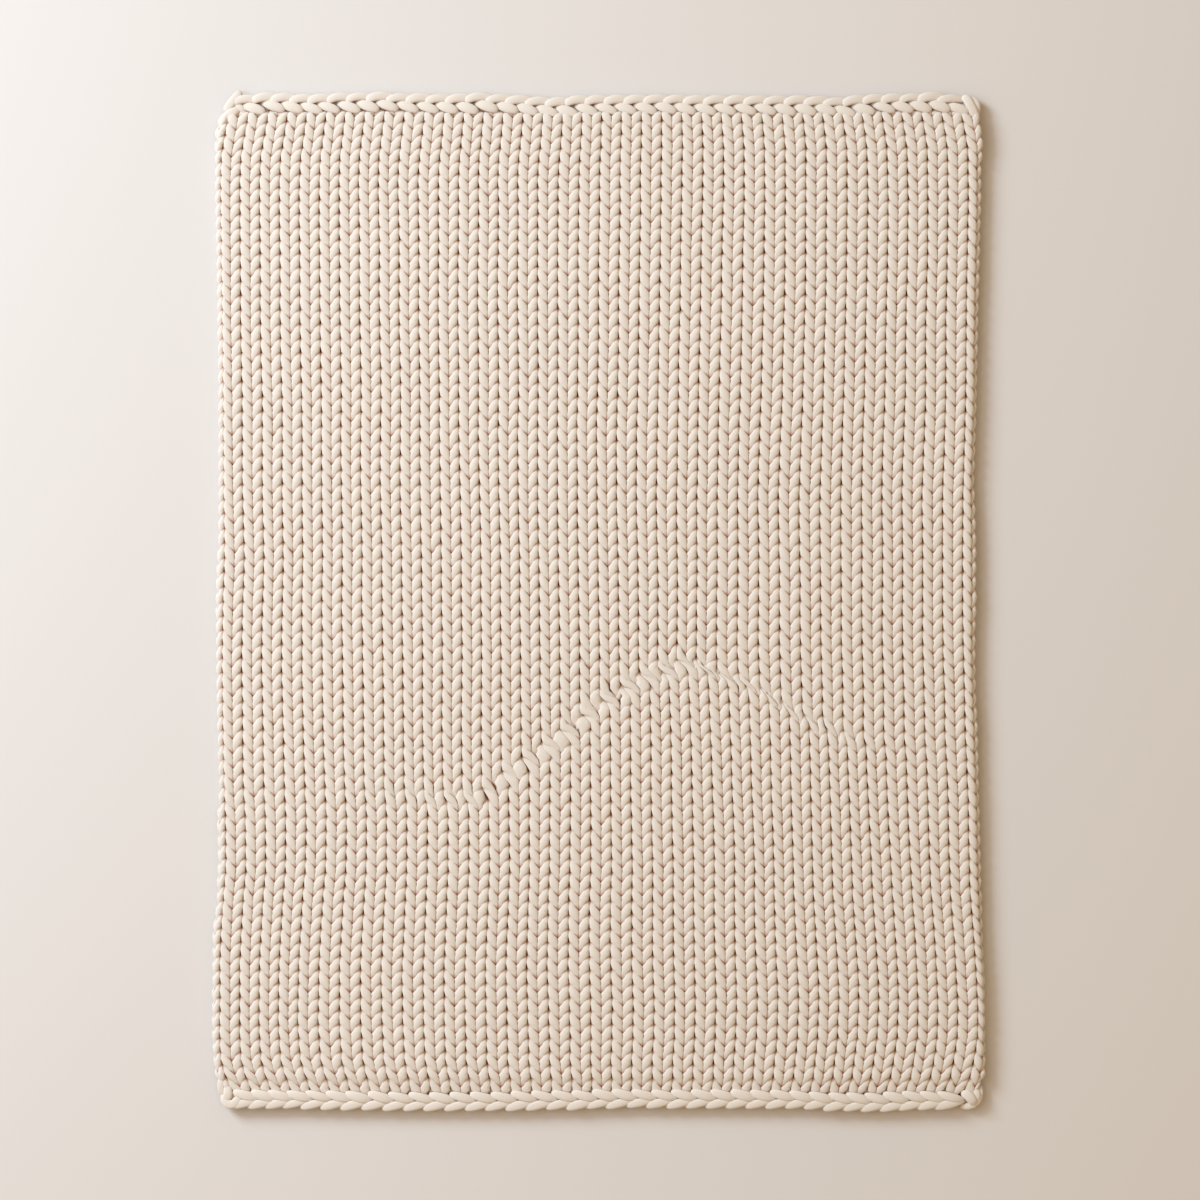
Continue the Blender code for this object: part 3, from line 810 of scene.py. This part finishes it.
links = np.arange(LINKS)
top = np.concatenate([chain_knots(TOP_INNER, TOP_TIPS, TOP_LINE, links),
                      chain_knots(TOP_OUTER, TOP_TIPS, TOP_LINE, links)])
top_open = np.repeat([0, 1], LINKS)                  # the outer leaves, on their outside
dress(leaves("cast_off_chain", top, open_side=top_open), chain_yarn)
bottom = np.concatenate([chain_knots(BOTTOM_INNER, BOTTOM_TIPS, BOTTOM_LINE, links),
                         chain_knots(BOTTOM_OUTER, BOTTOM_TIPS, BOTTOM_LINE, links - 1)])
bottom_open = np.repeat([0, -1], LINKS)
dress(leaves("cast_on_chain", bottom, open_side=bottom_open), chain_yarn)
backs = np.concatenate([chain_knots(CHAIN_BACK, TOP_TIPS, TOP_LINE, links),
                        chain_knots(CHAIN_BACK, BOTTOM_TIPS, BOTTOM_LINE, links[:-1])])
backs_piece = leaves("chain_backs", backs, BACK_RINGS, BACK_SIDES, BACK_TONE)
dress(backs_piece, chain_yarn)

turns = [smooth_path([knots], CORNER_RINGS)[0] for knots in CORNERS.values()]
turns = np.array(turns) - np.array([0, HALF_LENGTH, 0, 0, 0])
turns_piece = leaves("corner_turns", turns, CORNER_RINGS, CORNER_SIDES, CORNER_TONE)
dress(turns_piece, chain_yarn)


def place_legs(shape, columns, rows, slipped, wander=0.0):
    """Knots of one leg in this shape at each column and row, laid out on the blanket."""
    shape = np.array(shape)
    knots = np.zeros((len(columns), len(shape), 5))
    knots[..., 0] = (columns[:, None] + shape[:, 0]) * WALE
    knots[..., 1] = (rows[:, None] + shape[:, 1]) * COURSE
    if wander:
        knots[..., 1] += wander * RANDOM.normal(size=(len(columns), 1))
    knots[..., 2:] = shape[:, 2:]
    knots[..., :3] = lay_out(knots[..., :3].reshape(-1, 3), slipped).reshape(-1, len(shape), 3)
    return knots


# bits of yarn in the gaps between the cloth and the bottom chain, and legs that
# fill the places where the stitches have slipped, leaning to both sides
gaps = np.arange(FIRST_BIT, WALES - 1)
loose = [place_legs(BIT, gaps, np.zeros(len(gaps)), -1.0)]
feet_rows, feet_up = np.array(ROW_FEET).T
for way in (-1, 1):
    columns = np.arange(SLIP_FROM, SLIP_TO) + way * LOOSE_SIDE
    rows = np.interp(read_line(SLIP_LINE, columns), feet_up, feet_rows)
    leg = np.array(LOOSE_LEG) * (way, 1, 1, 1, 1)
    loose.append(place_legs(leg, columns, rows, 0.0, LOOSE_WANDER))
dress(leaves("loose_legs", np.concatenate(loose)), chain_yarn)


def hole_shade_sheet(name):
    """A thin sheet of painted shade in the cloth's middle, which closes the holes between the
    stitches with a dark colour.
    """
    columns, rows = np.linspace(*HOLE_SHADE_COLUMNS), np.linspace(*HOLE_SHADE_ROWS)
    grid_c, grid_r = np.meshgrid(columns, rows)
    across, along = grid_c.ravel() * WALE, grid_r.ravel() * COURSE
    wide, tall, count = len(columns), len(rows), grid_c.size
    flat = np.concatenate([
        np.stack([across, along, np.full(count, MID_HEIGHT + side * HOLE_SHADE_HALF)], axis=1)
        for side in (-1, 1)])

    r, c = np.meshgrid(np.arange(tall - 1), np.arange(wide - 1), indexing="ij")
    corner = (r * wide + c).ravel()
    low = np.stack([corner, corner + wide, corner + wide + 1, corner + 1], axis=1)
    high = count + low[:, ::-1]
    rim = np.concatenate([np.arange(wide), np.arange(2, tall + 1) * wide - 1,
                          np.arange(count - 2, count - wide - 1, -1),
                          np.arange(tall - 2, 0, -1) * wide])
    after = np.roll(rim, -1)
    edge = np.stack([rim, after, count + after, count + rim], axis=1)
    faces = np.concatenate([low, high, edge])

    column, up = flat[:, 0] / WALE, read_line(ROW_FEET, flat[:, 1] / COURSE)
    laid = lay_out(flat, side_of_slip(column, up))
    return mesh_object(name, laid, faces, [], flat / HOLE_SHADE_STRAND, np.ones(len(flat)))


# a dark sheet that paints the shade in the holes between the stitches
ground = dress(hole_shade_sheet("painted_hole_shade"), hole_shade_paint)

# ------------------------------------------------------- floor, light, camera
bpy.ops.mesh.primitive_plane_add(size=FLOOR_SIZE)
floor = bpy.context.object
floor.name = "floor"
floor_paint = bpy.data.materials.new("floor_paint")
floor_paint.use_nodes = True
floor_shader = floor_paint.node_tree.nodes["Principled BSDF"]
floor_shader.inputs["Base Color"].default_value = (*FLOOR_COLOUR, 1)
floor_shader.inputs["Roughness"].default_value = FLOOR_ROUGHNESS
floor.data.materials.append(floor_paint)

world = bpy.data.worlds.new("studio")
bpy.context.scene.world = world
world.use_nodes = True
world.node_tree.nodes["Background"].inputs["Color"].default_value = (*ROOM_COLOUR, 1)
world.node_tree.nodes["Background"].inputs["Strength"].default_value = ROOM_STRENGTH


def soft_light(name, place, target, size, power, colour):
    """A round soft lamp that shines from a place towards a target."""
    lamp = bpy.data.lights.new(name, "AREA")
    lamp.shape = "DISK"
    lamp.size, lamp.energy, lamp.color = size, power, colour
    stand = bpy.data.objects.new(name, lamp)
    stand.location = place
    stand.rotation_euler = (Vector(target) - Vector(place)).to_track_quat("-Z", "Y").to_euler()
    bpy.context.scene.collection.objects.link(stand)


for light in LIGHTS:
    soft_light(*light)

# The lens takes in VIEW_WIDTH at the middle of the cloth's thickness.
camera = bpy.data.cameras.new("camera")
camera.type = "PERSP"
camera.sensor_width = SENSOR_WIDTH
camera.lens = SENSOR_WIDTH * (CAMERA_PLACE[2] - MID_HEIGHT) / VIEW_WIDTH
camera.clip_end = VIEW_END
stand = bpy.data.objects.new("camera", camera)
stand.location = CAMERA_PLACE
bpy.context.scene.collection.objects.link(stand)
bpy.context.scene.camera = stand
bpy.context.scene.view_settings.view_transform = "Standard"
